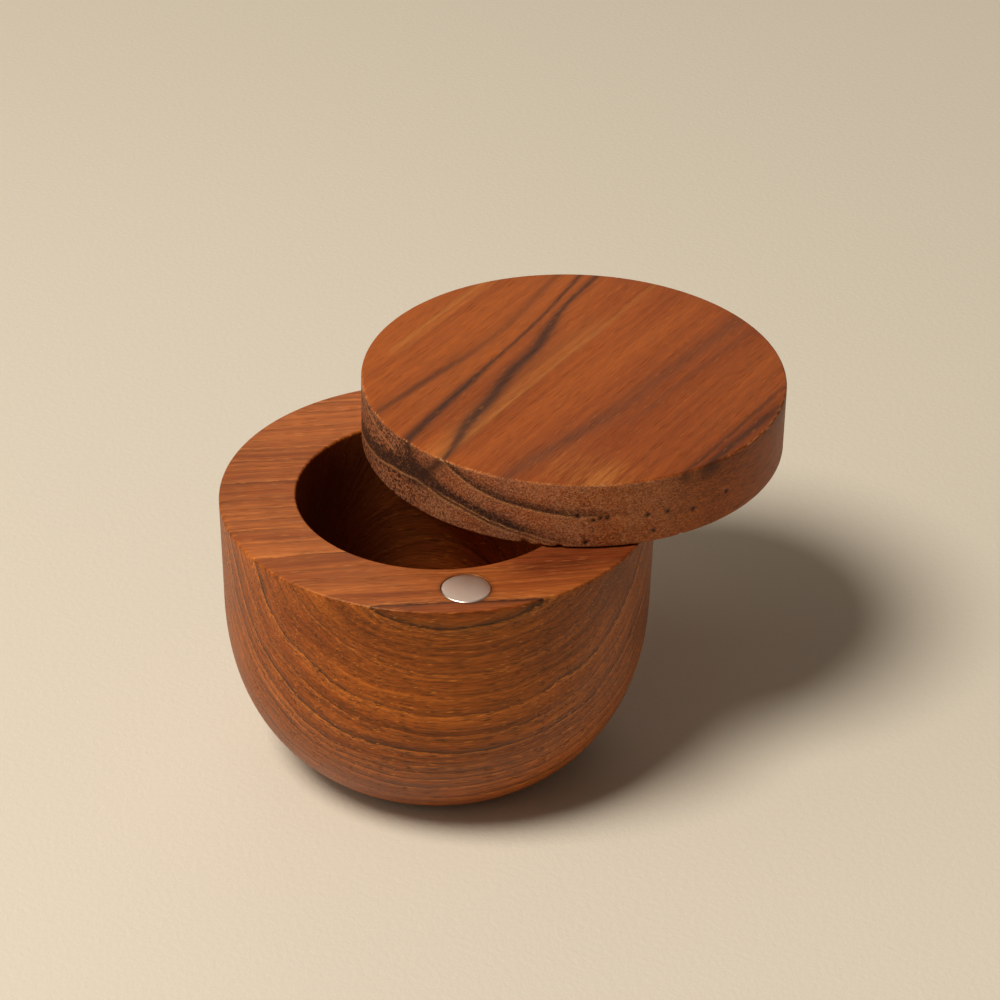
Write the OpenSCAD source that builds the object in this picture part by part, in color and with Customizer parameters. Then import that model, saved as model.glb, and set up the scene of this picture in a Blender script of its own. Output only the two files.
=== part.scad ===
// Round wooden salt and spice keeper: a turned bowl with a thick flat rim, and a plain disc lid
// that lies on the rim and swivels open sideways about one hidden upright pin.
// Two nickel-plated disc magnets, one let into the rim and one under the lid, meet when it is shut.
// The bowl stands on z = 0 with its axis on Z. The pin is at the back (+Y), the rim magnet in front.

/* [Bowl] */
// Diameter of the bowl at its rim
rim_d = 90; // [88:0.5:96]
// Height of the bowl, from its base to its rim
bowl_h = 61; // [60:0.5:68]
// Diameter of the bowl where its wall starts to round inwards
belly_d = 89.2; // [86:0.2:94]
// Height at which the wall starts to round inwards
belly_h = 40.5; // [34:0.5:48]
// Diameter of the flat base
base_d = 52; // [44:1:58]
// Fullness of the rounded lower half: 2 is a plain ellipse, more is squarer
fullness = 2.4; // [2:0.05:3]
// Radius of the softened outer and inner edges of the rim
rim_round = 0.6; // [0.3:0.1:1]
// Radius of the softened edge round the base
base_round = 1; // [0.5:0.1:2]

/* [Cavity] */
// Diameter of the straight-sided cavity
cavity_d = 58.4; // [54:0.2:60]
// Depth of the cavity below the rim
cavity_depth = 46; // [36:0.5:48]
// Radius of the fillet between the cavity's wall and its floor
cavity_fillet = 4; // [1:0.5:8]

/* [Lid] */
// Diameter of the lid
lid_d = 89.2; // [86:0.2:96]
// Thickness of the lid
lid_h = 14.8; // [13:0.1:20]
// Radius of the softened edges of the lid
lid_round = 0.5; // [0.3:0.1:1]
// Gap between the rim and the underside of the lid
lid_gap = 0.35; // [0.35:0.05:0.6]
// Angle by which the lid is swung open from its closed place
swing = 59.3; // [0:0.1:180]

/* [Pivot] */
// Distance of the pin and of the magnets from the axis of the part that holds them
ring_r = 36.7; // [36:0.1:38]
// Diameter of the steel pivot pin
pin_d = 6; // [4:1:6]
// Length of the pin that is pressed into the rim
pin_in_bowl = 14; // [10:0.5:20]
// Length of the pin that stands up above the rim, into the lid
pin_above_rim = 10; // [6:0.5:11]
// Radial running clearance of the pin in the lid
pin_clearance = 0.05; // [0.02:0.01:0.1]
// Outer diameter of the shim washer round the pin
washer_d = 12; // [9:0.5:13]
// Thickness of the shim washer
washer_h = 0.3; // [0.1:0.05:0.3]

/* [Magnets] */
// Diameter of each disc magnet
magnet_d = 10; // [8:0.5:10]
// Thickness of each disc magnet
magnet_h = 3; // [2:0.5:4]
// Width of the glue line between a magnet and the wall of its pocket
glue_gap = 0.08; // [0.05:0.01:0.12]
// Chamfer on the edges of a magnet
magnet_chamfer = 0.35; // [0.1:0.05:0.5]

/* [Hidden] */
$fn = 128;

rim_r = rim_d / 2;
belly_r = belly_d / 2;
base_r = base_d / 2;
cavity_r = cavity_d / 2;
cavity_floor = bowl_h - cavity_depth;
lid_r = lid_d / 2;
lid_z = bowl_h + lid_gap;
pin_r = pin_d / 2;
pin_chamfer = 0.5;
// Spare depth at the blind end of the pin's bore in the lid
bore_spare = 0.5;
lid_bore_depth = pin_above_rim - lid_gap + bore_spare;
washer_bore_r = pin_r + 0.1;
magnet_r = magnet_d / 2;
pocket_r = magnet_r + glue_gap;
// Overrun of a cutting shape past the face that it cuts
cut = 1;
wood_bowl = [0.52, 0.28, 0.12];
wood_lid = [0.48, 0.25, 0.13];
steel = [0.72, 0.72, 0.74];
nickel = [0.78, 0.74, 0.70];

// The rounded lower half is a superellipse arc about the axis at belly height, cut off by the base
// plane. Its half height is chosen so that the cut has the base's radius.
arc_half_h = belly_h / pow(1 - pow(base_r / belly_r, fullness), 1 / fullness);
function arc_r(z) = belly_r * pow(1 - pow((belly_h - z) / arc_half_h, fullness), 1 / fullness);
// Heights of the arc's points, from the base's softened edge up to the belly, closer near the base
arc_steps = 26;
arc_z = [for (i = [0:arc_steps]) base_round + (belly_h - base_round) * pow(i / arc_steps, 1.25)];

// Points of an arc of radius r about [cx, cz], from angle a0 to angle a1
function corner(cx, cz, r, a0, a1, steps = 5) =
    [for (i = [0:steps]) let (a = a0 + (a1 - a0) * i / steps) [cx + r * cos(a), cz + r * sin(a)]];

// Half outline of the bowl: base, outer wall, rim, cavity wall and cavity floor
module bowl_outline() {
    polygon(concat(
        [[0, 0]],
        [[arc_r(0) - base_round, 0], [arc_r(0.3 * base_round) - 0.3 * base_round, 0.3 * base_round]],
        [for (z = arc_z) [arc_r(z), z]],
        corner(rim_r - rim_round, bowl_h - rim_round, rim_round, 0, 90),
        corner(cavity_r + rim_round, bowl_h - rim_round, rim_round, 90, 180),
        corner(cavity_r - cavity_fillet, cavity_floor + cavity_fillet, cavity_fillet, 0, -90, 8),
        [[0, cavity_floor]]
    ));
}

// A disc of radius r and height h on z = 0, with its edges rounded to radius e
module round_disc(r, h, e) {
    rotate_extrude() polygon(concat(
        [[0, 0]],
        corner(r - e, e, e, -90, 0),
        corner(r - e, h - e, e, 0, 90),
        [[0, h]]
    ));
}

// A cylinder on z = 0 with a chamfer of c on both ends
module chamfered_cylinder(r, h, c) {
    rotate_extrude() polygon([[0, 0], [r - c, 0], [r, c], [r, h - c], [r - c, h], [0, h]]);
}

// Puts a child that is drawn for the closed lid where the lid is now
module swung() {
    translate([0, ring_r, 0]) rotate([0, 0, swing]) translate([0, -ring_r, 0]) children();
}

module bowl() {
    color(wood_bowl) difference() {
        rotate_extrude() bowl_outline();
        translate([0, -ring_r, bowl_h - magnet_h]) cylinder(r = pocket_r, h = magnet_h + cut);
        translate([0, ring_r, bowl_h - pin_in_bowl]) cylinder(r = pin_r, h = pin_in_bowl + cut);
    }
}

module rim_magnet() {
    color(nickel) translate([0, -ring_r, bowl_h - magnet_h])
        chamfered_cylinder(magnet_r, magnet_h, magnet_chamfer);
}

module pivot_pin() {
    color(steel) translate([0, ring_r, bowl_h - pin_in_bowl])
        chamfered_cylinder(pin_r, pin_in_bowl + pin_above_rim, pin_chamfer);
}

module pivot_washer() {
    color(steel) translate([0, ring_r, bowl_h]) difference() {
        cylinder(r = washer_d / 2, h = washer_h);
        translate([0, 0, -cut]) cylinder(r = washer_bore_r, h = washer_h + 2 * cut);
    }
}

module lid() {
    color(wood_lid) swung() translate([0, 0, lid_z]) difference() {
        round_disc(lid_r, lid_h, lid_round);
        translate([0, ring_r, -cut])
            cylinder(r = pin_r + pin_clearance, h = lid_bore_depth + cut);
        translate([0, -ring_r, -cut]) cylinder(r = pocket_r, h = magnet_h + cut);
    }
}

module lid_magnet() {
    color(nickel) swung() translate([0, -ring_r, lid_z])
        chamfered_cylinder(magnet_r, magnet_h, magnet_chamfer);
}

bowl();
rim_magnet();
pivot_pin();
pivot_washer();
lid();
lid_magnet();
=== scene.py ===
# A turned wooden salt and spice keeper: a bowl with a thick rim, and a disc lid that swivels on a pin.
import math
from types import SimpleNamespace

import bpy
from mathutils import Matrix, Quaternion, Vector


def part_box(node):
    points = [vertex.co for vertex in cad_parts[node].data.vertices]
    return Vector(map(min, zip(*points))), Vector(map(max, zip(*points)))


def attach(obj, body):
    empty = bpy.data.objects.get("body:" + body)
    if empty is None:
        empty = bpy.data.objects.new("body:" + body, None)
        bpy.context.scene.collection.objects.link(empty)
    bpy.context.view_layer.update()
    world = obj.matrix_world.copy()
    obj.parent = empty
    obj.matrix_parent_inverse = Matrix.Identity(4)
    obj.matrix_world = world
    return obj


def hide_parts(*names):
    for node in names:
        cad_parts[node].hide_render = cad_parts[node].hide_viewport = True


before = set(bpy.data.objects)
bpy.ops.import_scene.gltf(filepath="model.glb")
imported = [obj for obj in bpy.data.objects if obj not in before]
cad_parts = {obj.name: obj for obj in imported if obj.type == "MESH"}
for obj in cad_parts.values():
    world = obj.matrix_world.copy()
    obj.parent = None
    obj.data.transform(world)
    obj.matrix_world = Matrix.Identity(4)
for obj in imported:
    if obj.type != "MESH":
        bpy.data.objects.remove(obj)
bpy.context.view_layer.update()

MM = 0.001
BOWL_BODY = "bowl_body"
LID_BODY = "lid_body"

# ---------------------------------------------------------------- sizes, in millimetres


def box_mm(node):
    """Lowest and highest corner of a CAD node, in millimetres."""
    lo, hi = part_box(node)
    return Vector(lo) / MM, Vector(hi) / MM


def middle(node):
    """Centre of a CAD node's box, in millimetres."""
    lo, hi = box_mm(node)
    return (lo + hi) / 2


_, bowl_hi = box_mm("bowl")
lid_lo, lid_hi = box_mm("lid")
rim_magnet_lo, rim_magnet_hi = box_mm("rim_magnet")
pin_lo, pin_hi = box_mm("pivot_pin")

BOWL_H = bowl_hi.z
RIM_R = bowl_hi.x
# The wall leans outwards by this much, from the belly up to the rim
WALL_LEAN = 0.4
BELLY_R = RIM_R - WALL_LEAN
BELLY_H = 40.5
BASE_R = 26.0
# Exponent of the bowl's rounded lower half: 2 is a plain ellipse, more is squarer
FULLNESS = 2.4
RIM_ROUND = 0.6
BASE_ROUND = 1.0
CAVITY_R = 29.2
CAVITY_FLOOR = BOWL_H - 46.0
CAVITY_FILLET = 4.0
LID_R = (lid_hi.x - lid_lo.x) / 2
LID_Z = lid_lo.z
LID_H = lid_hi.z - lid_lo.z
LID_ROUND = 0.5
LID_CENTRE = middle("lid")
POCKET_SPARE = 0.08
HOLE_CHAMFER = 0.12
MAGNET_R = (rim_magnet_hi.x - rim_magnet_lo.x) / 2
MAGNET_H = rim_magnet_hi.z - rim_magnet_lo.z
MAGNET_ROUND = 0.35
PIN_R = (pin_hi.x - pin_lo.x) / 2
PIN_PLAY = 0.05
LID_BORE_DEPTH = 10.15

# ---------------------------------------------------------------- meshes

WOOD_SEGMENTS = 480
MAGNET_SEGMENTS = 128
HOLE_SEGMENTS = 96
# How far the plug that cuts a hole stands out of the face it cuts
PLUG_OVERRUN = 1.0
ARC_STEPS = 26
# Above 1, the arc's points lie closer together near the base
ARC_CROWDING = 1.25
# Height of the point halfway round the base's softened edge
FOOT = 0.3 * BASE_ROUND
FLAT_STEPS = 6
WALL_STEPS = 8
CORNER_STEPS = 6
DISC_FACE_STEPS = 5
# Edges sharper than these angles stay crisp
WOOD_CRISP_DEG = 28
METAL_CRISP_DEG = 40


def arc_radius(z):
    """Radius of the bowl's rounded lower half at height z."""
    cut = (1 - (BASE_R / BELLY_R) ** FULLNESS) ** (1 / FULLNESS)
    half_height = BELLY_H / cut
    return BELLY_R * (1 - ((BELLY_H - z) / half_height) ** FULLNESS) ** (1 / FULLNESS)


def corner(cx, cz, r, start, end, steps):
    """Points of a rounded corner of radius r about (cx, cz), from one angle to another, in degrees."""
    points = []
    for i in range(steps + 1):
        a = math.radians(start + (end - start) * i / steps)
        points.append((cx + r * math.cos(a), cz + r * math.sin(a)))
    return points


def line(a, b, steps):
    """Points from a to b, without b."""
    return [(a[0] + (b[0] - a[0]) * i / steps, a[1] + (b[1] - a[1]) * i / steps) for i in range(steps)]


def outer_wall():
    """The bowl's outline from the middle of its base up to the rounding of its rim."""
    foot = [(arc_radius(0) - BASE_ROUND, 0), (arc_radius(FOOT) - FOOT, FOOT)]
    rise = BELLY_H - BASE_ROUND
    heights = [BASE_ROUND + rise * (i / ARC_STEPS) ** ARC_CROWDING for i in range(ARC_STEPS + 1)]
    wall = line((BELLY_R, BELLY_H), (RIM_R, BOWL_H - RIM_ROUND), WALL_STEPS)[1:]
    return line((0.0, 0.0), foot[0], FLAT_STEPS) + foot + [(arc_radius(z), z) for z in heights] + wall


def bowl_outline():
    """Half outline of the bowl, from the middle of the base round to the middle of the cavity floor."""
    shoulder = BOWL_H - RIM_ROUND
    fillet_r = CAVITY_R - CAVITY_FILLET
    fillet_z = CAVITY_FLOOR + CAVITY_FILLET
    outline = outer_wall()
    outline += corner(RIM_R - RIM_ROUND, shoulder, RIM_ROUND, 0, 90, CORNER_STEPS)
    outline += corner(CAVITY_R + RIM_ROUND, shoulder, RIM_ROUND, 90, 180, CORNER_STEPS)
    outline += line((CAVITY_R, shoulder), (CAVITY_R, fillet_z), WALL_STEPS)[1:]
    outline += corner(fillet_r, fillet_z, CAVITY_FILLET, 0, -90, WALL_STEPS)
    outline += line((fillet_r, CAVITY_FLOOR), (0.0, CAVITY_FLOOR), FLAT_STEPS)[1:]
    return outline + [(0.0, CAVITY_FLOOR)]


def disc_outline(r, h, e, side_steps, corner_steps):
    """Half outline of a disc of radius r and height h on z = 0, with its edges rounded to radius e."""
    outline = line((0.0, 0.0), (r - e, 0.0), DISC_FACE_STEPS)
    outline += corner(r - e, e, e, -90, 0, corner_steps)
    outline += line((r, e), (r, h - e), side_steps)[1:]
    outline += corner(r - e, h - e, e, 0, 90, corner_steps)
    outline += line((r - e, h), (0.0, h), DISC_FACE_STEPS)[1:]
    return outline + [(0.0, h)]


def lathe_faces(rings, segments):
    """Faces between rings of vertices, closed by one vertex at the start and one at the end."""
    top = 1 + (rings - 1) * segments
    last = top + segments
    faces = []
    for s in range(segments):
        t = (s + 1) % segments
        faces.append((0, 1 + t, 1 + s))
        for k in range(rings - 1):
            a = 1 + k * segments
            b = a + segments
            faces.append((a + s, a + t, b + t, b + s))
        faces.append((top + s, top + t, last))
    return faces


def lathe(name, outline, centre, base_z, segments):
    """Turns a half outline about an upright axis. The outline starts and ends on the axis."""
    verts = [(centre.x, centre.y, base_z + outline[0][1])]
    for r, z in outline[1:-1]:
        for s in range(segments):
            a = 2 * math.pi * s / segments
            verts.append((centre.x + r * math.cos(a), centre.y + r * math.sin(a), base_z + z))
    verts.append((centre.x, centre.y, base_z + outline[-1][1]))
    verts = [(x * MM, y * MM, z * MM) for x, y, z in verts]
    mesh = bpy.data.meshes.new(name)
    mesh.from_pydata(verts, [], lathe_faces(len(outline) - 2, segments))
    mesh.validate()
    obj = bpy.data.objects.new(name, mesh)
    bpy.context.scene.collection.objects.link(obj)
    return obj


def cutter(centre, r, z_face, depth, into):
    """A plug that cuts a round hole with a chamfered mouth into the face at z_face; into is 1 or -1."""
    mouth = r + HOLE_CHAMFER
    outline = [(0.0, -PLUG_OVERRUN), (mouth, -PLUG_OVERRUN), (mouth, 0.0), (r, HOLE_CHAMFER)]
    outline += line((r, HOLE_CHAMFER), (r, depth), 3)[1:] + [(r, depth), (0.0, depth)]
    plug = lathe("cutter", outline, centre, 0.0, HOLE_SEGMENTS)
    for v in plug.data.vertices:
        v.co.z = z_face * MM + into * v.co.z
    if into < 0:
        plug.data.flip_normals()
    return plug


def drill(obj, plugs):
    """Cuts the plugs out of obj and removes them."""
    for plug in plugs:
        modifier = obj.modifiers.new("hole", "BOOLEAN")
        modifier.operation = "DIFFERENCE"
        modifier.solver = "EXACT"
        modifier.object = plug
    graph = bpy.context.evaluated_depsgraph_get()
    cut = bpy.data.meshes.new_from_object(obj.evaluated_get(graph))
    obj.modifiers.clear()
    obj.data = cut
    for plug in plugs:
        bpy.data.objects.remove(plug)


def smooth(obj, crisp_deg):
    """Smooth shading, with the edges sharper than that angle kept crisp."""
    obj.data.shade_smooth()
    obj.data.set_sharp_from_angle(angle=math.radians(crisp_deg))


# Small dents along the lower edge of the lid: angle in degrees, width along the edge, depth
LID_CHIPS = [(-113, 1.5, 0.5), (-109, 0.9, 0.35), (-104, 1.2, 0.4), (-71, 0.8, 0.3), (38, 1.0, 0.3)]
# Only vertices this near the side are moved, and only where a dent has this share of its depth
CHIP_REACH = 1.5
CHIP_LEAST = 0.02
# Height over which a dent dies out, and how far it pushes up for each step inwards
CHIP_HEIGHT = 0.7
CHIP_RISE = 0.6


def chip_lid(obj):
    """Presses the small dents into the lid's lower edge."""
    for v in obj.data.vertices:
        x = v.co.x / MM - LID_CENTRE.x
        y = v.co.y / MM - LID_CENTRE.y
        r = math.hypot(x, y)
        if r < LID_R - CHIP_REACH:
            continue
        height = v.co.z / MM - LID_Z
        for angle, width, depth in LID_CHIPS:
            turn = math.degrees(math.atan2(y, x)) - angle
            along = LID_R * math.radians((turn + 180) % 360 - 180)
            near = math.exp(-((along / (width / 2)) ** 2) - (height / CHIP_HEIGHT) ** 2)
            if near > CHIP_LEAST:
                pull = depth * near
                v.co.x -= x / r * pull * MM
                v.co.y -= y / r * pull * MM
                v.co.z += CHIP_RISE * pull * MM


def make_bowl():
    bowl = lathe("bowl_turned", bowl_outline(), Vector((0, 0)), 0.0, WOOD_SEGMENTS)
    pocket = cutter(middle("rim_magnet"), MAGNET_R + POCKET_SPARE, BOWL_H, MAGNET_H, -1)
    bore = cutter(middle("pivot_pin"), PIN_R, BOWL_H, BOWL_H - pin_lo.z, -1)
    drill(bowl, [pocket, bore])
    smooth(bowl, WOOD_CRISP_DEG)
    return bowl


def make_lid():
    outline = disc_outline(LID_R, LID_H, LID_ROUND, side_steps=14, corner_steps=5)
    lid = lathe("lid_disc", outline, LID_CENTRE, LID_Z, WOOD_SEGMENTS)
    chip_lid(lid)
    pocket = cutter(middle("lid_magnet"), MAGNET_R + POCKET_SPARE, LID_Z, MAGNET_H, 1)
    bore = cutter(middle("pivot_pin"), PIN_R + PIN_PLAY, LID_Z, LID_BORE_DEPTH, 1)
    drill(lid, [pocket, bore])
    smooth(lid, WOOD_CRISP_DEG)
    return lid


def make_magnet(name, node):
    """A plated disc with rolled edges, standing for the CAD magnet."""
    lo, hi = box_mm(node)
    outline = disc_outline(MAGNET_R, hi.z - lo.z, MAGNET_ROUND, side_steps=3, corner_steps=6)
    magnet = lathe(name, outline, middle(node), lo.z, MAGNET_SEGMENTS)
    smooth(magnet, METAL_CRISP_DEG)
    return magnet


# ---------------------------------------------------------------- node trees

# A speck shows fully within this distance of its middle, as a share of the pattern's size
SPECK_CORE = 0.2
# Fibre noise from which, and up to which, a hair of the wood shows
HAIR_EDGE = 0.16
# How far a texture's shift moves it along its second axis, so that no two patterns line up
SHIFT_SECOND = 1.7
SHADER_INPUTS = {
    "colour": "Base Color",
    "rough": "Roughness",
    "metal": "Metallic",
    "specular": "Specular IOR Level",
    "tint": "Specular Tint",
}


class Value:
    """A number or colour worked out by a node tree; arithmetic on it adds nodes."""

    def __init__(self, tree, socket):
        self.tree = tree
        self.socket = socket

    def __add__(self, other):
        return self.tree.math("ADD", self, other)

    def __radd__(self, other):
        return self.tree.math("ADD", other, self)

    def __sub__(self, other):
        return self.tree.math("SUBTRACT", self, other)

    def __rsub__(self, other):
        return self.tree.math("SUBTRACT", other, self)

    def __mul__(self, other):
        return self.tree.math("MULTIPLY", self, other)

    def __rmul__(self, other):
        return self.tree.math("MULTIPLY", other, self)

    def __truediv__(self, other):
        return self.tree.math("DIVIDE", self, other)

    def __neg__(self):
        return self.tree.math("MULTIPLY", self, -1)

    def __abs__(self):
        return self.tree.math("ABSOLUTE", self)


class Tree:
    """A material under construction, with one Principled shader."""

    def __init__(self, name):
        self.material = bpy.data.materials.new(name)
        self.material.use_nodes = True
        self.nodes = self.material.node_tree.nodes
        self.links = self.material.node_tree.links
        self.nodes.clear()
        self.shader = self.nodes.new("ShaderNodeBsdfPrincipled")
        output = self.nodes.new("ShaderNodeOutputMaterial")
        self.links.new(self.shader.outputs[0], output.inputs[0])

    def plug(self, socket, value):
        """Links a Value to the socket, or sets a plain number or colour on it."""
        if isinstance(value, Value):
            self.links.new(value.socket, socket)
        elif isinstance(value, tuple):
            socket.default_value = (*value, 1.0)
        else:
            socket.default_value = value

    def value(self, socket):
        return Value(self, socket)

    def math(self, operation, a, b=0.0):
        """One Math node; an operation on one number leaves b unused."""
        node = self.nodes.new("ShaderNodeMath")
        node.operation = operation
        self.plug(node.inputs[0], a)
        self.plug(node.inputs[1], b)
        return self.value(node.outputs[0])

    def clamp(self, a):
        node = self.nodes.new("ShaderNodeClamp")
        self.plug(node.inputs[0], a)
        return self.value(node.outputs[0])

    def highest(self, first, *others):
        """The highest of several values."""
        for other in others:
            first = self.math("MAXIMUM", first, other)
        return first

    def split(self, vector):
        node = self.nodes.new("ShaderNodeSeparateXYZ")
        self.plug(node.inputs[0], vector)
        return [self.value(s) for s in node.outputs]

    def place(self):
        """Where the surface point is in the piece at rest, in millimetres, and its normal there."""
        node = self.nodes.new("ShaderNodeTexCoord")
        scaled = self.shade(self.value(node.outputs["Object"]), 1 / MM)
        return self.split(scaled), self.split(self.value(node.outputs["Normal"]))

    def texture(self, kind, at, size, shift):
        """A texture node, with features of that size in millimetres along each axis."""
        first, second, third = (a / s for a, s in zip(at, size))
        vector = self.nodes.new("ShaderNodeCombineXYZ")
        self.plug(vector.inputs[0], first + shift)
        self.plug(vector.inputs[1], second + shift * SHIFT_SECOND)
        self.plug(vector.inputs[2], third - shift)
        node = self.nodes.new(kind)
        self.links.new(vector.outputs[0], node.inputs["Vector"])
        node.inputs["Scale"].default_value = 1.0
        return node

    def noise(self, at, size, detail, rough, shift):
        """Smooth noise about 0, mostly within 0.25 either way; shift picks another pattern."""
        node = self.texture("ShaderNodeTexNoise", at, size, shift)
        node.inputs["Detail"].default_value = detail
        node.inputs["Roughness"].default_value = rough
        return self.value(node.outputs[0]) - 0.5

    def noises(self, at, table):
        """Every noise of a table, by its name."""
        return SimpleNamespace(**{name: self.noise(at, *row) for name, row in table.items()})

    def specks(self, at, size, shift, radius, show_from, whole_from, more=0.0):
        """Scattered specks. A speck's random number, raised by more, decides how much of it shows."""
        node = self.texture("ShaderNodeTexVoronoi", at, size, shift)
        node.feature = "F1"
        near = self.value(node.outputs["Distance"])
        pick = self.split(self.value(node.outputs["Color"]))[0]
        return self.step(near, radius, SPECK_CORE) * self.step(pick + more, show_from, whole_from)

    def step(self, a, lo, hi):
        """Rises smoothly from 0 to 1 as a goes from lo to hi, or falls if lo is above hi."""
        node = self.nodes.new("ShaderNodeMapRange")
        node.interpolation_type = "SMOOTHSTEP"
        self.plug(node.inputs["Value"], a)
        falling = lo > hi
        node.inputs["From Min"].default_value = min(lo, hi)
        node.inputs["From Max"].default_value = max(lo, hi)
        node.inputs["To Min"].default_value = 1.0 if falling else 0.0
        node.inputs["To Max"].default_value = 0.0 if falling else 1.0
        return self.value(node.outputs[0])

    def fade(self, a):
        """1 where a is 0, falling towards 0 as a grows: e to the power of minus a."""
        return self.math("POWER", math.e, -a)

    def bell(self, a, half):
        """1 where a is 0, falling to about a third at the distance half on both sides."""
        scaled = a / half
        return self.fade(scaled * scaled)

    def hair(self, fibre):
        """The light hairs in the noise of the fibre, from 0 to 1."""
        return self.step(fibre, -HAIR_EDGE, HAIR_EDGE)

    def hypot(self, a, b):
        return self.math("SQRT", a * a + b * b)

    def curve(self, a, points, low, high, handles="AUTO"):
        """A curve through (input, output) points, whose outputs lie between low and high."""
        node = self.nodes.new("ShaderNodeFloatCurve")
        first, last = points[0][0], points[-1][0]
        scaled = [((p - first) / (last - first), (q - low) / (high - low)) for p, q in points]
        drawn = node.mapping.curves[0].points
        drawn[0].location = scaled[0]
        drawn[1].location = scaled[-1]
        for p in scaled[1:-1]:
            drawn.new(*p)
        for p in drawn:
            p.handle_type = handles
        node.mapping.update()
        self.plug(node.inputs["Value"], (a - first) / (last - first))
        return self.value(node.outputs[0]) * (high - low) + low

    def lookup(self, a, colours):
        """One of several colours: the first where a is 0 or more, the next from 1 on, and so on."""
        node = self.nodes.new("ShaderNodeValToRGB")
        ramp = node.color_ramp
        ramp.interpolation = "CONSTANT"
        count = len(colours)
        while len(ramp.elements) < count:
            ramp.elements.new(1.0)
        for i, colour in enumerate(colours):
            ramp.elements[i].position = i / count
            ramp.elements[i].color = (*colour, 1)
        self.plug(node.inputs[0], (a + 0.5) / count)
        return self.value(node.outputs[0])

    def mix(self, share, a, b, blend="MIX"):
        """Colour a where share is 0, b where it is 1."""
        node = self.nodes.new("ShaderNodeMix")
        node.data_type = "RGBA"
        node.blend_type = blend
        self.plug(node.inputs[0], share)
        self.plug(node.inputs[6], a)
        self.plug(node.inputs[7], b)
        return self.value(node.outputs[2])

    def shade(self, colour, factor):
        """A colour or vector times a factor."""
        node = self.nodes.new("ShaderNodeVectorMath")
        node.operation = "SCALE"
        self.plug(node.inputs[0], colour)
        self.plug(node.inputs["Scale"], factor)
        return self.value(node.outputs[0])

    def relief(self, height):
        """Bump from a height in millimetres."""
        node = self.nodes.new("ShaderNodeBump")
        node.inputs["Distance"].default_value = MM
        node.inputs["Strength"].default_value = 1.0
        self.plug(node.inputs["Height"], height)
        self.plug(self.shader.inputs["Normal"], self.value(node.outputs[0]))

    def set(self, **settings):
        """Sets or links the shader's inputs."""
        for key, value in settings.items():
            self.plug(self.shader.inputs[SHADER_INPUTS[key]], value)


# ---------------------------------------------------------------- wood of the bowl

# The growth rings are cylinders about the pith, a line along X outside the bowl
PITH_Y = -72.0
PITH_Z = 85.0
# The pith leans a little: this much more ring radius for each millimetre along X
PITH_LEAN = 0.02
# A distance round the pith is its angle in radians times this radius
AROUND_R = 70
# How far the slow noise, the waves and the fraying push the rings about
SLOW_PUSH = 5.0
WAVE_PUSH = 2.4
FRAY_PUSH = 0.9
# Ring boundaries: radius in millimetres, and how strongly each one shows
RINGS = [
    (24.0, 0.5), (39.0, 1.0), (48.0, 0.3), (56.8, 0.9), (61.4, 0.5), (65.7, 0.95), (69.7, 0.6),
    (71.6, 0.45), (73.9, 0.6), (77.2, 0.45), (83.2, 0.7), (87.4, 0.35), (91.0, 0.6), (96.3, 0.8),
    (99.6, 0.4), (104.4, 0.7), (110.5, 0.5), (113.8, 0.8), (119.2, 0.4), (124.6, 0.7), (128.4, 0.5),
    (134.0, 0.8), (140.5, 0.4), (150.0, 0.6),
]
RING_WIDTH_MAX = 16.0
# Distance from its ring boundary at which each part of a ring starts, and at which it is full
LATE_WOOD = (1.9, 0.2)
HARD_LINE = (0.6, 0.1)
PALE_RIDGE = (1.1, 0.3)
EARLY_WOOD = (2.6, 0.3)
# Radius at which the first ring crosses the rim in front of the magnet
LIP_RING = 38.7
# Radius and half width of the dark band across the right of the rim, partly a real stain and partly
# painted shade beside the lid's edge, and where it comes in along X
HEART_AND_LID_SHADE = 49.8
HEART_AND_LID_SHADE_HALF = 4.6
HEART_AND_LID_SHADE_X = (3.0, 17.0)
# Where along X painted light brightens the cavity's right wall, and between which radii painted shade
# darkens the side under the rim
CAVITY_PAINTED_LIGHT_X = (-12.0, 14.0)
UNDER_RIM_PAINTED_SHADE = (56.0, 42.0)
# Noises by size along X, y and z, then detail, roughness and shift
BOWL_WAVES = {
    "slow": ((120, 30, 30), 1.0, 0.4, 3.1),
    "wave": ((34, 9, 9), 2.0, 0.5, 11.7),
    "broad": ((60, 22, 22), 1.0, 0.5, 55.0),
}
# Noises by size along X, across the rings and round the pith, then detail, roughness and shift
BOWL_GRAIN = {
    "fray": ((2.6, 0.5, 2.0), 2.0, 0.6, 5.3),
    "streak": ((70, 1.2, 16), 3.0, 0.6, 21.0),
    "stain": ((90, 3.4, 40), 2.0, 0.5, 61.0),
    "figure": ((14, 9, 9), 2.0, 0.5, 34.0),
    "fibre": ((4.5, 0.36, 1.1), 2.0, 0.65, 47.0),
    "lamella": ((55, 0.62, 45), 2.0, 0.6, 87.0),
    "patch": ((16, 3, 16), 2.0, 0.5, 71.0),
}
# Specks by size along the same axes, then shift, radius, and the random numbers at which they show
BOWL_PORES = ((5.5, 0.62, 0.7), 2.0, 0.32, 0.3, 0.6)
BOWL_FLECKS = ((3.6, 0.5, 0.6), 9.0, 0.34, 0.6, 0.85)
# Colours, linear
BOWL_BASE = (0.330, 0.077, 0.0145)
BOWL_GOLD = (0.51, 0.157, 0.036)
BOWL_PALE = (0.62, 0.235, 0.072)
BOWL_RED = (0.185, 0.035, 0.009)
# Painted shade: the deep brown the cavity is darkened towards
CAVITY_PAINTED_SHADE = (0.150, 0.040, 0.012)
BOWL_SHADE = (0.120, 0.028, 0.008)
BOWL_LINE = (0.060, 0.015, 0.008)
PORE_DARK = (0.080, 0.019, 0.006)
# Painted shade: the side is made darker and warmer than the rim, as less light falls on it
SIDE_PAINTED_SHADE = (1.0, 0.86, 0.42)
# The oil gives the wood's sheen a golden cast
WARM_SHEEN = (1.0, 0.73, 0.38)


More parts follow.
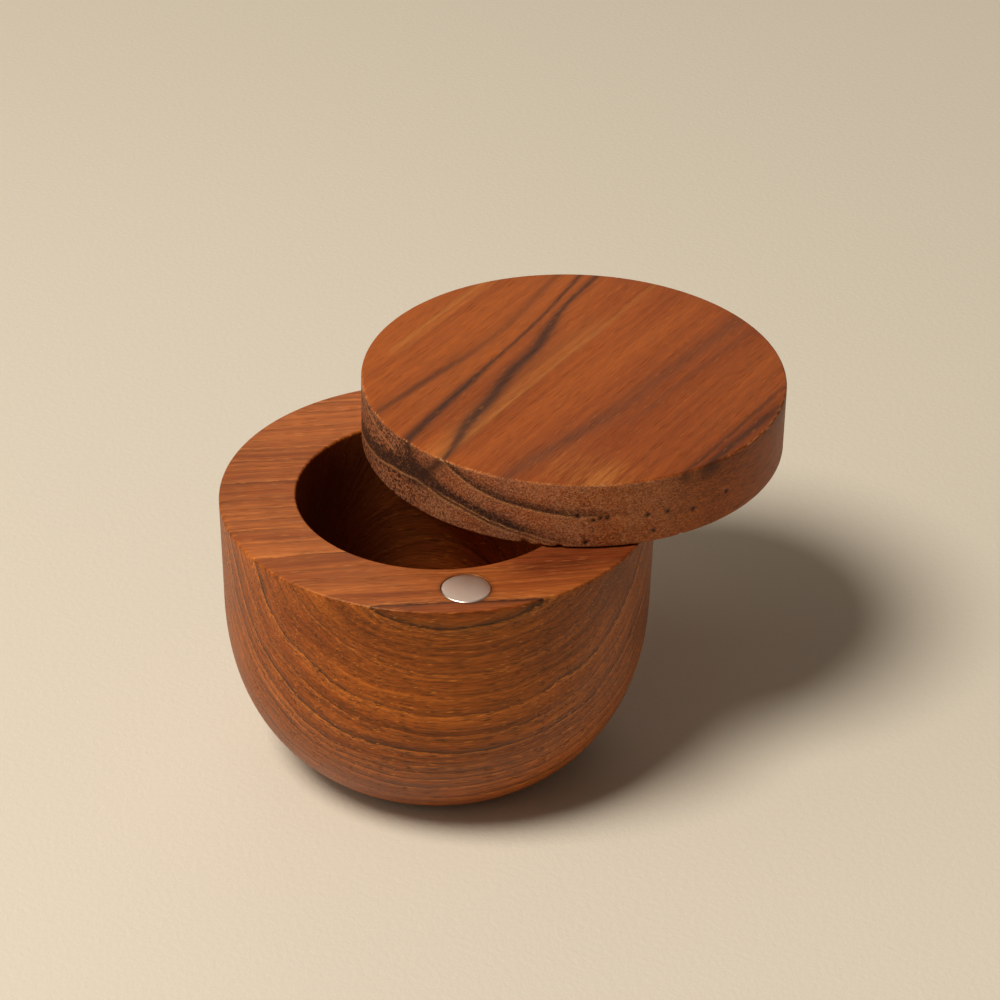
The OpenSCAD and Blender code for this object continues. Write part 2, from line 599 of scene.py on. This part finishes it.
def bowl_grain(t, place):
    """Ring radius of each point (layer), and the noises that lie along and across the grain."""
    x, y, z = place
    waves = t.noises(place, BOWL_WAVES)
    layer = t.hypot(y - PITH_Y, z - PITH_Z) + x * PITH_LEAN
    layer = layer + waves.slow * SLOW_PUSH + waves.wave * WAVE_PUSH
    around = t.math("ARCTAN2", z - PITH_Z, y - PITH_Y) * AROUND_R
    grain = t.noises((x, layer, around), BOWL_GRAIN)
    grain.at = (x, layer, around)
    grain.layer = layer
    grain.wave = waves.wave
    grain.broad = waves.broad
    grain.hair = t.hair(grain.fibre)
    return grain


def bowl_zones(t, place, normal):
    """How far each point belongs to the side, the end grain, the cavity and so on, from 0 to 1."""
    x, y, z = place
    magnet = middle("rim_magnet")
    side = t.step(abs(normal[2]), 0.9, 0.5)
    in_cavity = t.step(t.hypot(x, y), CAVITY_R + 0.9, CAVITY_R + 0.2)
    inside = in_cavity * t.step(z, BOWL_H - 0.2, BOWL_H - 1.2)
    by_magnet = t.step(t.hypot(x - magnet.x, y - magnet.y), MAGNET_R + 1.1, MAGNET_R + 0.1)
    return SimpleNamespace(
        side=side,
        end=t.step(abs(normal[0]), 0.45, 0.95),
        inside=inside,
        calm=(0.7 + side * 0.3) * (1 - inside * 0.6),
        # Painted light: the cavity's right wall, where light coming in from the left falls, is made
        # lighter
        right=t.step(x, *CAVITY_PAINTED_LIGHT_X),
        stain_and_lid_shade=t.step(x, *HEART_AND_LID_SHADE_X) * (1 - side * 0.8),
        rim=t.step(z, BOWL_H - 1.6, BOWL_H - 0.6),
        # Darker in a ring round the magnet's pocket and down its upper walls
        darker_round_pocket=by_magnet * t.step(z, BOWL_H - 3.0, BOWL_H - 0.5),
    )


def ring_cells(t, rho):
    """For each point: distance to the ring boundary outside it and inside it, and their strengths."""
    count = len(RINGS) - 1
    stops = [(r, i / count) for i, (r, _) in enumerate(RINGS)]
    index = t.curve(rho, stops, 0.0, 1.0, "VECTOR") * count
    whole = t.math("FLOOR", index)
    part = index - whole
    rows = []
    for (inner_r, inner), (outer_r, outer) in zip(RINGS, RINGS[1:]):
        rows.append(((outer_r - inner_r) / RING_WIDTH_MAX, outer, inner))
    width, outer, inner = t.split(t.lookup(whole, rows))
    width = width * RING_WIDTH_MAX
    return (1 - part) * width, part * width, outer, inner


def bowl_bands(t, grain, zone):
    """The parts of each ring: dark late wood, its hard line, a pale ridge and open early wood."""
    to_outer, from_inner, outer, inner = ring_cells(t, grain.layer + grain.fray * FRAY_PUSH)
    patch = t.clamp(0.9 + grain.patch * 2.6)
    crisp = (0.4 + zone.side * 0.6) * (1 - zone.inside * 0.5)
    return SimpleNamespace(
        late=t.step(to_outer, *LATE_WOOD) * outer * patch,
        hard=t.step(to_outer, *HARD_LINE) * outer * patch * crisp,
        ridge=t.step(from_inner, *PALE_RIDGE) * inner * patch,
        early=t.step(from_inner, *EARLY_WOOD) * inner,
        # Partly a real dark stain, partly painted shade where the lid's edge shades the rim
        heart_and_lid_shade=t.bell(grain.layer - HEART_AND_LID_SHADE - grain.streak * 12, HEART_AND_LID_SHADE_HALF) * zone.stain_and_lid_shade,
        lip=t.step(grain.layer, LIP_RING + 0.7, LIP_RING - 1.1) * zone.rim,
        lip_line=t.bell(grain.layer - LIP_RING + grain.fray, 0.6) * t.clamp(0.9 + grain.wave * 1.5),
    )


def bowl_colour(t, grain, zone, band):
    """The bowl's colour without its pores: streaks of red and gold, then the rings."""
    colour = t.mix(t.clamp(0.5 + grain.streak * 1.8 + grain.broad * 1.2), BOWL_RED, BOWL_GOLD)
    colour = t.mix(0.62 - zone.side * 0.22, colour, BOWL_BASE)
    stain_and_lid_shade = t.step(grain.stain, 0.0, 0.17) * (0.6 - zone.side * 0.35) + band.heart_and_lid_shade * 1.2
    colour = t.mix(t.clamp(stain_and_lid_shade), colour, BOWL_RED)
    colour = t.mix(band.lip * 0.6, colour, BOWL_RED)
    colour = t.mix(band.late * 0.6 * zone.calm, colour, BOWL_SHADE)
    gold = band.ridge * (0.35 + grain.hair * 0.65) + band.early * grain.hair * 0.25
    colour = t.mix(t.clamp(gold) * zone.calm, colour, BOWL_GOLD)
    line_share = band.hard * (0.75 + grain.hair * 0.5) + band.lip_line * 0.7
    return t.mix(t.clamp(line_share), colour, BOWL_LINE)


def bowl_light(t, grain, zone, band):
    """How much lighter or darker than its colour the bowl's wood is, with painted shade on the side,
    under the rim and beside the lid, and painted light on the cavity's right wall.
    """
    fibre = grain.hair * 0.22 + grain.fibre * (0.6 + zone.side * 0.6) + grain.streak * 0.5
    fibre = fibre + grain.lamella * (0.6 + zone.side * 0.3)
    light = 0.94 + (fibre - 0.1) * zone.calm + grain.figure * 0.3 + grain.broad * 0.3
    # Painted shade beside the lid's edge, over a real stain
    light = light - band.heart_and_lid_shade * (0.16 - grain.streak * 0.6)
    # Painted shade: the side is darker than the rim, and darker still just under the rim
    light = light * (1 - zone.side * (0.14 + t.step(grain.layer, *UNDER_RIM_PAINTED_SHADE) * 0.1))
    # Painted light: the cavity's right wall is made lighter
    return light * (1 - zone.darker_round_pocket * 0.3) * (1 + zone.inside * zone.right * 0.4)


def bowl_wood():
    """Oiled wood turned from one block, whose rings show on the rim, the side and in the cavity."""
    t = Tree("bowl_wood")
    place, normal = t.place()
    grain = bowl_grain(t, place)
    zone = bowl_zones(t, place, normal)
    band = bowl_bands(t, grain, zone)
    side = zone.side
    pore = t.specks(grain.at, *BOWL_PORES)
    fleck = t.specks(grain.at, *BOWL_FLECKS, more=band.early * 0.4)
    colour = bowl_colour(t, grain, zone, band)
    colour = t.mix(pore * (0.24 + side * 0.34 + band.early * 0.2), colour, PORE_DARK)
    colour = t.mix(fleck * (0.28 + side * 0.4), colour, BOWL_PALE)
    # Painted shade: the side is made darker and warmer than the rim
    colour = t.mix(side, colour, SIDE_PAINTED_SHADE, "MULTIPLY")
    # Painted shade: the cavity is darkened towards a deep brown, less so on its right wall
    colour = t.mix(zone.inside * (0.64 - zone.right * 0.44), colour, CAVITY_PAINTED_SHADE)
    t.set(colour=t.shade(colour, bowl_light(t, grain, zone, band)), tint=WARM_SHEEN)
    rough = 0.42 + grain.fibre * 0.3 + pore * 0.15 + zone.end * 0.05 + zone.inside * 0.2
    t.set(rough=rough, specular=0.36)
    raised = grain.hair * 0.02 + band.ridge * 0.1 + grain.lamella * (0.06 + side * 0.04)
    sunk = pore * (0.025 + side * 0.03) + band.hard * 0.07 + band.late * 0.08
    t.relief(raised - sunk)
    return t.material


# ---------------------------------------------------------------- wood of the lid

# Below, u is a position across the grain, w along the grain, d below the lid's top, and v is u with
# the waves of the grain, all in millimetres from the lid's axis
LID_GRAIN_DEG = 48.84
# Paths of the streaks: positions (w, v)
STREAK_FAINT = [(-46, -26.4), (-35, -25.7), (2, -22.6), (36, -25.3), (46, -26.5)]
STREAK_LEFT = [(-46, -14.3), (-41, -14.7), (-15, -16.5), (19, -18.7), (38, -21.1), (46, -22.2)]
STREAK_MAIN = [
    (-46, -4.2), (-42, -4.6), (-30, -7.8), (-20, -9.0), (-6, -11.5), (4.5, -12.3), (14, -14.4),
    (23.5, -16.4), (39, -17.7), (46, -18.2),
]
RED_BAND = [(-46, 9.5), (-33, 11.2), (-22, 13.2), (-7.5, 15.3), (10, 16.0), (32, 17.7), (46, 18.8)]
EDGE_THIN = [(-46, 37.0), (-17, 38.8), (21, 39.8), (46, 41.0)]
EDGE_WIDE = [(-46, 40.5), (-13, 41.4), (10, 42.6), (46, 44.0)]
# Small dark pits in the lid's side: angle in degrees, depth below the top
PITS = [
    (-99.5, 7.5), (-95.4, 8.4), (-93.6, 7.9), (-91.8, 7.9), (-81.0, 8.2), (-75.4, 8.3),
    (-67.8, 9.3), (-79.2, 12.1), (-56.6, 8.2), (-97.2, 13.6),
]
PIT_SIZE = 0.5
# The side's rings arch over the pith below the lid: the arch's crest, and its fall to either side
CREST_U = -11.7
CREST_DEPTH = 6.7
FALL_RIGHT = 0.226
FALL_LEFT = 0.17
# A second line starts here at the top edge and bows down to its full depth further right
BOW_START_U = -5.0
BOW_DEPTH = 8.4
BOW_REACH = 12
# Where the main streak's stain crosses the side
CROSSING_U = -12.0
CROSSING_DEPTH = 6.3
# The golden thread in the halo, the golden lines at the left, and the golden spot at the front
THREAD_V = -5.1
LEFT_LINE_V = -37.2
LEFT_THREAD_V = -35.4
SPOT_U = 21.0
SPOT_W = -34.0
# Streak paths stay within this distance of the lid's axis
PATH_REACH = 50.0
# Depths below the top between which the streaks end on the side
MAIN_ENDS = (8.5, 6.0)
EDGE_ENDS = (4.5, 1.0)
# The front of the lid along the grain, and its plainer right across the grain
FRONT_W = (0.0, -18.0)
PLAIN_U = (-2.0, 20.0)
# Noises by size along w, u and d, then detail, roughness and shift
LID_GRAIN = {
    "fray": ((3, 0.5, 0.5), 2.0, 0.6, 4.0),
    "wave": ((40, 8, 8), 2.0, 0.5, 14.0),
    "fibre": ((5, 0.32, 0.32), 2.0, 0.65, 24.0),
    "broad": ((80, 14, 14), 1.0, 0.5, 33.0),
    "fine": ((60, 2.0, 2.0), 3.0, 0.55, 44.0),
    "mottle": ((6, 1.0, 0.55), 3.0, 0.7, 83.0),
}
# Specks by size along the same axes, then shift, radius, and the random numbers at which they show
LID_PORES = ((7.0, 0.45, 0.45), 2.0, 0.32, 0.35, 0.6)
LID_FLECKS = ((3.2, 0.5, 0.5), 9.0, 0.34, 0.7, 0.85)
# Colours, linear
LID_BASE = (0.245, 0.046, 0.0065)
LID_LIGHT = (0.330, 0.073, 0.010)
LID_GOLD = (0.43, 0.150, 0.030)
LID_PALE = (0.36, 0.150, 0.055)
LID_DEEP = (0.150, 0.036, 0.012)
LID_BLACK = (0.032, 0.011, 0.008)
LID_END = (0.320, 0.128, 0.062)
LID_MURK = (0.075, 0.029, 0.019)


def lid_grain(t, place, normal):
    """Where each point lies in the lid's grain, and how far it belongs to the side and end grain."""
    x, y, z = place
    along_x = math.cos(math.radians(LID_GRAIN_DEG))
    along_y = math.sin(math.radians(LID_GRAIN_DEG))
    dx = x - LID_CENTRE.x
    dy = y - LID_CENTRE.y
    u = dx * along_y - dy * along_x
    w = dx * along_x + dy * along_y
    d = (LID_Z + LID_H) - z
    grain = t.noises((w, u, d), LID_GRAIN)
    grain.u, grain.w, grain.d = u, w, d
    grain.v = u + grain.wave * 1.4 + grain.fray * 0.9
    grain.radius = t.hypot(dx, dy)
    grain.side = t.step(abs(normal[2]), 0.8, 0.3)
    grain.end = t.step(abs(normal[0] * along_x + normal[1] * along_y), 0.2, 0.8)
    grain.front = t.step(w, *FRONT_W)
    return grain


def streak(t, v, w, path, half):
    """Strength of a streak that follows a path along the grain, with a soft glow beside it."""
    off = v - t.curve(w, path, -PATH_REACH, PATH_REACH)
    return t.bell(off, half) * 0.75 + t.bell(off, half * 2.6) * 0.25


def lid_streaks(t, grain):
    """The dark streaks of the top, and how far down the side they run."""
    v, w, side, front = grain.v, grain.w, grain.side, grain.front
    deep = t.clamp(grain.d / CREST_DEPTH)
    upper = t.step(grain.d, *MAIN_ENDS)
    shallow = t.step(grain.d, *EDGE_ENDS)
    faint = streak(t, v, w, STREAK_FAINT, 0.9) * (0.45 + t.step(w, 6.0, -14.0) * 0.25) * (1 - side)
    left = streak(t, v - deep * 1.5, w, STREAK_LEFT, 0.5 + front * 0.65 + side * 0.7)
    wide = t.step(w, -44.0, -30.0) * t.step(w, 26.0, 10.0)
    main = streak(t, v + deep * 6.4, w, STREAK_MAIN, 0.7 + wide * 0.8 + side * 0.8)
    thin = streak(t, v, w, EDGE_THIN, 0.6) * t.step(w, 30.0, 12.0) * 0.7
    edge = streak(t, v, w, EDGE_WIDE, 1.1) * t.step(w, 22.0, 4.0) * 0.9
    left = left * upper * (0.85 + front * 0.15)
    main = main * upper * (0.9 + wide * 0.1)
    return t.highest(left, main, thin * shallow, edge * shallow, faint)


def lid_band(t, grain):
    """The broad red band right of the middle, and a thin one beside its front end."""
    broad = streak(t, grain.v, grain.w, RED_BAND, 1.9) * (0.7 + grain.front * 0.25)
    beside = streak(t, grain.v - 4.6, grain.w, RED_BAND, 0.8)
    return t.highest(broad, beside * 0.5 * t.step(grain.w, -20.0, -6.0))


def lid_spot(t, grain):
    """The golden patch at the front of the top."""
    patchy = t.clamp(0.55 + grain.fine * 3.0 + grain.fibre * 2.0)
    across = t.bell(grain.u - SPOT_U + grain.w * 0.1, 8.5)
    return across * t.bell(grain.w - SPOT_W, 7.0) * patchy


def lid_gold(t, grain, spot):
    """Golden wood: a halo right of the main streak, a thread in it, two lines at the left, the spot."""
    v, w = grain.v, grain.w
    halo = t.step(v, -11.5, -7.5) * t.step(v, -3.4, -5.0) * t.step(w, 34.0, 12.0)
    halo = halo * (0.7 + grain.broad + grain.fine)
    thread = t.bell(v - THREAD_V, 0.45) * (0.75 + grain.fine * 1.5)
    lines = t.bell(v - LEFT_LINE_V, 0.8) + t.bell(v - LEFT_THREAD_V, 0.5) * 0.5
    lines = lines * t.step(w, -18.0, -8.0)
    return t.clamp(halo * 0.42 + thread * 0.5 + lines * 0.5 + spot * 0.65)


def side_rings(t, grain):
    """The side's dark bands (murk) and pale lines, which dip both ways from the crest."""
    u, d = grain.u, grain.d
    right = t.highest(u - CREST_U, 0.0)
    left = t.highest(CREST_U - u, 0.0)
    ripple = grain.wave * 2.2 + grain.fray * 0.6
    arch = d - CREST_DEPTH - right * FALL_RIGHT - left * FALL_LEFT + ripple * 0.5
    arch_dark = t.bell(arch + 0.8, 1.5) * t.step(right, 40.0, 16.0) * t.step(left, 44.0, 24.0)
    arch_pale = t.bell(arch - 0.9, 0.28) + t.bell(arch + 0.15, 0.2) * t.step(right, 4.0, 10.0)

    started = t.step(u, BOW_START_U - 1.0, BOW_START_U + 2.0)
    bowed = 1 - t.fade(t.highest(u - BOW_START_U, 0.0) / BOW_REACH)
    bow = d - BOW_DEPTH * bowed + ripple * 0.3
    bow_dark = t.step(bow, -3.2, -0.4) * t.step(bow, 0.0, -0.3) * started * t.step(u, 36.0, 18.0)
    bow_pale = t.bell(bow, 0.3) * started * t.step(u, 34.0, 24.0)

    crossing = t.bell(u - CROSSING_U + grain.fray * 3, 4.4)
    crossing = crossing * t.bell(d - CROSSING_DEPTH + grain.wave * 2 + grain.fray * 2, 2.2)
    left_murk = t.step(u, -6.0, -16.0) * t.step(grain.w, -8.0, -24.0)
    left_murk = left_murk * t.step(grain.mottle + grain.fray, -0.14, 0.2) * 0.75
    left_pale = t.bell(d - 1.7 - (u + 31.3) * 0.21 + ripple * 0.3, 0.3) * t.step(u, -17.0, -20.0)
    murk = t.clamp(arch_dark * 1.4 + bow_dark * 0.95 + crossing * 2.0 + left_murk)
    pale = t.clamp(arch_pale + bow_pale + left_pale * 1.3)
    return murk * grain.side, pale * grain.side


def side_ground(t, grain):
    """The mottled end grain of the lid's side, plainer towards its right."""
    ground = t.mix(t.clamp(0.38 + grain.fray * 2.6 + grain.wave * 1.5), LID_END, LID_BASE)
    plain = t.step(grain.u, *PLAIN_U)
    blots = t.step(grain.mottle + grain.fray * 0.9, -0.12, 0.2) * (0.85 - plain * 0.55)
    return t.mix(blots, ground, LID_MURK)


def lid_pits(t, place, grain):
    """Small pits, each a little ball of shade at its place on the side."""
    x, y, _ = place
    pits = 0.0
    for angle, depth in PITS:
        a = math.radians(angle)
        from_x = x - (LID_CENTRE.x + LID_R * math.cos(a))
        from_y = y - (LID_CENTRE.y + LID_R * math.sin(a))
        pits = t.bell(t.hypot(t.hypot(from_x, from_y), grain.d - depth), PIT_SIZE) + pits
    return t.clamp(pits * (1.1 + grain.fray))


def lid_colour(t, grain, dark, spot):
    """The lid's colour without its pores and pits, from the ground up to the dark streaks."""
    tone = 0.5 + grain.fine * 1.5 + grain.broad * 1.6 - grain.u * 0.012 + grain.side * 0.7
    colour = t.mix(t.clamp(tone), LID_BASE, LID_LIGHT)
    colour = t.mix(lid_band(t, grain), colour, LID_DEEP)
    colour = t.mix(lid_gold(t, grain, spot), colour, LID_GOLD)
    colour = t.mix(grain.side * (0.12 + grain.end * 0.72), colour, side_ground(t, grain))
    murk, pale = side_rings(t, grain)
    murk = t.clamp(murk * (0.95 + grain.mottle * 1.2 + grain.fray * 1.2))
    colour = t.mix(murk, colour, LID_BLACK)
    pale = t.clamp(pale * (0.7 + grain.fray * 3.0 + grain.mottle * 1.6))
    colour = t.mix(pale, colour, LID_PALE)
    return t.mix(t.clamp(dark * (0.9 + grain.fibre * 0.8)), colour, LID_BLACK)


def lid_light(t, grain, worn):
    """How much lighter or darker than its colour the lid's wood is."""
    light = 0.92 + t.hair(grain.fibre) * 0.16 + grain.fibre * (0.42 + grain.side * 1.3) + grain.fine * 0.4
    light = light - t.step(grain.u, 2.0, 34.0) * (1 - grain.side) * 0.1
    return light * (1 + worn * 0.3)


def lid_wear(t, grain):
    """Where the oil is worn off the lid's upper edge."""
    edge = t.bell(grain.radius - (LID_R - 0.15), 0.3) * t.bell(grain.d - 0.25, 0.35)
    return edge * t.step(grain.fray + grain.wave, 0.0, 0.16)


def lid_wood():
    """Oiled wood with its own dark streaks, and the mottled end grain of its side."""
    t = Tree("lid_wood")
    place, normal = t.place()
    grain = lid_grain(t, place, normal)
    at = (grain.w, grain.u, grain.d)
    dark = lid_streaks(t, grain)
    spot = lid_spot(t, grain)
    pits = lid_pits(t, place, grain)
    worn = lid_wear(t, grain)
    pore = t.specks(at, *LID_PORES)
    fleck = t.specks(at, *LID_FLECKS, more=spot * 0.3)
    colour = lid_colour(t, grain, dark, spot)
    colour = t.mix(pore * (0.14 + grain.end * 0.35 + spot * 0.3), colour, LID_BLACK)
    colour = t.mix(fleck * (0.22 + grain.end * 0.4), colour, LID_GOLD)
    colour = t.mix(pits, colour, LID_BLACK)
    colour = t.mix(worn * 0.7, colour, LID_PALE)
    t.set(colour=t.shade(colour, lid_light(t, grain, worn)), tint=WARM_SHEEN)
    t.set(rough=0.5 + grain.fibre * 0.25 + pore * 0.15 + grain.end * 0.12, specular=0.26)
    raised = grain.fibre * (0.03 + grain.end * 0.05) + grain.fray * grain.side * 0.12
    t.relief(raised - pore * 0.025 - pits * 0.3 - dark * 0.03)
    return t.material


# ---------------------------------------------------------------- metals and floor

NICKEL_DARK = (0.89, 0.75, 0.66)
NICKEL_LIGHT = (1.0, 0.86, 0.76)
STEEL_DARK = (0.42, 0.41, 0.40)
STEEL_LIGHT = (0.60, 0.59, 0.57)
FLOOR_DARK = (0.66, 0.59, 0.48)
FLOOR_LIGHT = (0.69, 0.62, 0.51)
# The magnet's fine scratches lie nearly along X: how much faster they change along Y
SCRATCH_SLANT = 5 / 0.09
# Noises by size along X, Y and Z, then detail, roughness and shift
NICKEL_NOISE = {
    "grain": ((0.25, 0.25, 0.25), 2.0, 0.6, 1.0),
    "cloud": ((3, 3, 3), 2.0, 0.5, 8.0),
}
STEEL_NOISE = {
    "turned": ((6, 6, 0.12), 3.0, 0.6, 2.0),
    "cloud": ((2, 2, 2), 2.0, 0.5, 6.0),
}
FLOOR_NOISE = {
    "tooth": ((1.4, 1.4, 1), 3.0, 0.6, 2.0),
    "cloud": ((300, 300, 1), 2.0, 0.5, 6.0),
}


def nickel():
    """Satin nickel plate."""
    t = Tree("magnet_nickel")
    (x, y, z), _ = t.place()
    skin = t.noises((x, y, z), NICKEL_NOISE)
    scratch = t.noise((x + y * SCRATCH_SLANT, y, z), (5, 5, 1), 1.0, 0.5, 15.0)
    colour = t.mix(t.clamp(0.5 + skin.cloud * 1.2), NICKEL_DARK, NICKEL_LIGHT)
    t.set(colour=colour, metal=1.0, rough=0.36 + skin.cloud * 0.12 + skin.grain * 0.06)
    t.relief(skin.grain * 0.002 + scratch * 0.002)
    return t.material


def steel():
    """Ground steel with fine marks round the pin."""
    t = Tree("pivot_steel")
    place, _ = t.place()
    skin = t.noises(place, STEEL_NOISE)
    colour = t.mix(t.clamp(0.5 + skin.cloud * 1.4), STEEL_DARK, STEEL_LIGHT)
    t.set(colour=colour, metal=1.0, rough=0.34 + skin.turned * 0.2)
    t.relief(skin.turned * 0.01)
    return t.material


def floor_paint():
    """Matt pale paint with a fine tooth."""
    t = Tree("floor_paint")
    place, _ = t.place()
    skin = t.noises(place, FLOOR_NOISE)
    t.set(colour=t.mix(t.clamp(0.5 + skin.cloud), FLOOR_DARK, FLOOR_LIGHT), specular=0.25)
    t.set(rough=0.75 + skin.tooth * 0.1)
    t.relief(skin.tooth * 0.12)
    return t.material


def paint(obj, material):
    """Gives the object that material alone."""
    obj.data.materials.clear()
    obj.data.materials.append(material)


# ---------------------------------------------------------------- studio

LOOK_AT = Vector((12.25, -4.5, 60.5)) * MM
CAMERA_AT = Vector((-89.6, -572.9, 419.6)) * MM
CAMERA_LENS = 119.1
CAMERA_SENSOR = 36.0
CAMERA_CLIP = (0.01, 20.0)
CAMERA_ROLL_DEG = 0.985
FLOOR_REACH = 4.0
LIGHTS_AIM = Vector((0.01, 0.0, 0.04))
WORLD_COLOUR = (1.0, 0.87, 0.70)
WORLD_LIGHT = 0.12
# Area lights: name, the direction they stand in, distance in metres, diameter or width and height
# in metres, watts, colour
LIGHTS = [
    ("key", (-0.43, -0.22, 0.84), 1.6, 0.62, 27.0, (1.0, 0.96, 0.89)),
    ("fill", (-1.0, -0.1, 0.45), 1.5, 1.2, 4.2, (1.0, 0.92, 0.80)),
    ("card", (0.15, 0.83, 0.53), 1.8, (1.3, 0.7), 2.8, (1.0, 0.86, 0.74)),
]


def make_camera():
    data = bpy.data.cameras.new("camera")
    data.lens = CAMERA_LENS
    data.sensor_width = CAMERA_SENSOR
    data.clip_start, data.clip_end = CAMERA_CLIP
    camera = bpy.data.objects.new("camera", data)
    bpy.context.scene.collection.objects.link(camera)
    aim = (LOOK_AT - CAMERA_AT).to_track_quat("-Z", "Y")
    roll = Quaternion((0, 0, 1), math.radians(CAMERA_ROLL_DEG))
    camera.location = CAMERA_AT
    camera.rotation_euler = (aim @ roll).to_euler()
    bpy.context.scene.camera = camera


def make_floor():
    mesh = bpy.data.meshes.new("floor")
    corners = [(-1, -1), (1, -1), (1, 1), (-1, 1)]
    mesh.from_pydata([(x * FLOOR_REACH, y * FLOOR_REACH, 0) for x, y in corners], [], [(0, 1, 2, 3)])
    floor = bpy.data.objects.new("floor", mesh)
    bpy.context.scene.collection.objects.link(floor)
    paint(floor, floor_paint())


def make_light(name, stands, distance, size, watts, colour):
    """An area light that faces the box: a disc, or a rectangle where size is a pair."""
    data = bpy.data.lights.new(name, "AREA")
    if isinstance(size, tuple):
        data.shape = "RECTANGLE"
        data.size, data.size_y = size
    else:
        data.shape = "DISK"
        data.size = size
    data.energy = watts
    data.color = colour
    light = bpy.data.objects.new(name, data)
    bpy.context.scene.collection.objects.link(light)
    direction = Vector(stands).normalized()
    light.location = LIGHTS_AIM + direction * distance
    light.rotation_mode = "QUATERNION"
    light.rotation_quaternion = direction.to_track_quat("Z", "Y")


def make_world():
    world = bpy.data.worlds.new("world")
    bpy.context.scene.world = world
    world.use_nodes = True
    background = world.node_tree.nodes["Background"]
    background.inputs["Color"].default_value = (*WORLD_COLOUR, 1)
    background.inputs["Strength"].default_value = WORLD_LIGHT
    bpy.context.scene.view_settings.view_transform = "Standard"


# ---------------------------------------------------------------- assembly


def add(piece, material, body, node):
    """Finishes a piece that stands for a CAD node."""
    paint(piece, material)
    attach(piece, body)
    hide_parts(node)


plated = nickel()
ground_steel = steel()
add(make_bowl(), bowl_wood(), BOWL_BODY, "bowl")
add(make_lid(), lid_wood(), LID_BODY, "lid")
add(make_magnet("rim_magnet_disc", "rim_magnet"), plated, BOWL_BODY, "rim_magnet")
add(make_magnet("lid_magnet_disc", "lid_magnet"), plated, LID_BODY, "lid_magnet")
# The pin and the washer keep their CAD meshes
for name in ("pivot_pin", "pivot_washer"):
    paint(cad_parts[name], ground_steel)

make_camera()
make_floor()
for light in LIGHTS:
    make_light(*light)
make_world()
